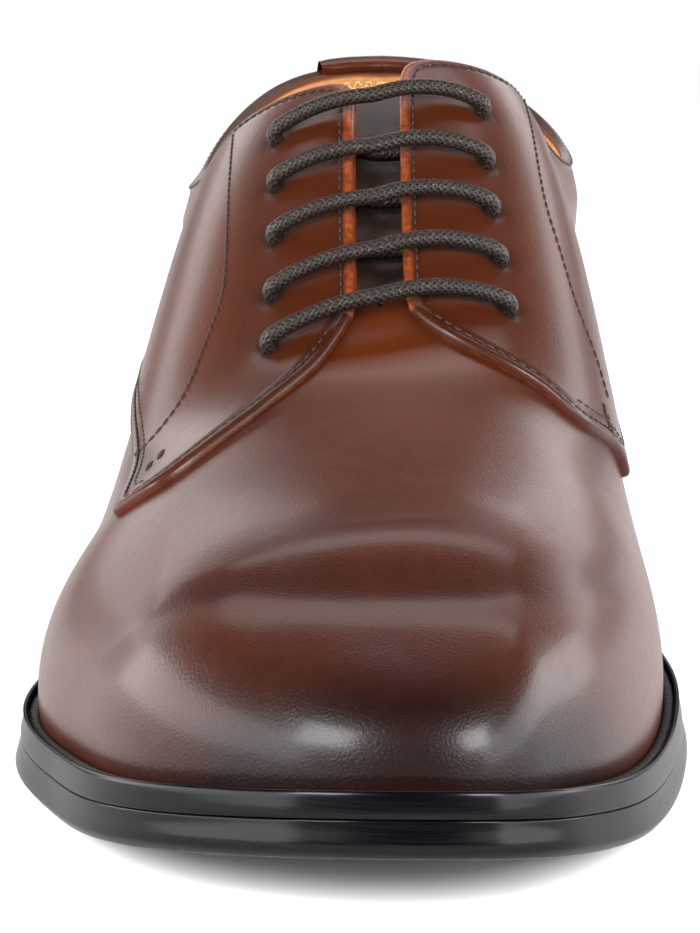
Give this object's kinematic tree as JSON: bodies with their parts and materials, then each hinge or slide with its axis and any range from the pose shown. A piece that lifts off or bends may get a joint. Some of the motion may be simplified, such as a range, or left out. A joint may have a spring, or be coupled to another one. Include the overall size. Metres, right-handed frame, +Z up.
{
  "type": "derby shoe",
  "caption": "Plain-toe leather derby dress shoe for the right foot, with open lacing over a tongue, a welted sole with a raised edge and a low stacked heel.",
  "frame": {"origin": "centre of the bounding box in plan, at the floor that the heel and the forefoot rest on", "axes": "+Z up, +Y from the toe to the heel, +X towards the inner side of the right foot"},
  "size_m": [0.1116, 0.305, 0.1096],
  "materials": {
    "brown_leather": "polished, fine grained, burnished darker at the toe and at the sole",
    "tongue_leather": "matt grain",
    "tan_lining": "matt, undyed lining leather",
    "black_edge": "edge-inked and waxed, satin",
    "black_rubber": "matt",
    "waxed_cord": "waxed braid"
  },
  "bodies": {
    "root": {"upper": "brown_leather", "tongue": "tongue_leather", "insole": "tan_lining", "welt": "black_edge", "outsole": "black_edge", "heel_stack": "black_edge", "heel_top_piece": "black_rubber", "laces": "waxed_cord"}
  },
  "joints": []
}
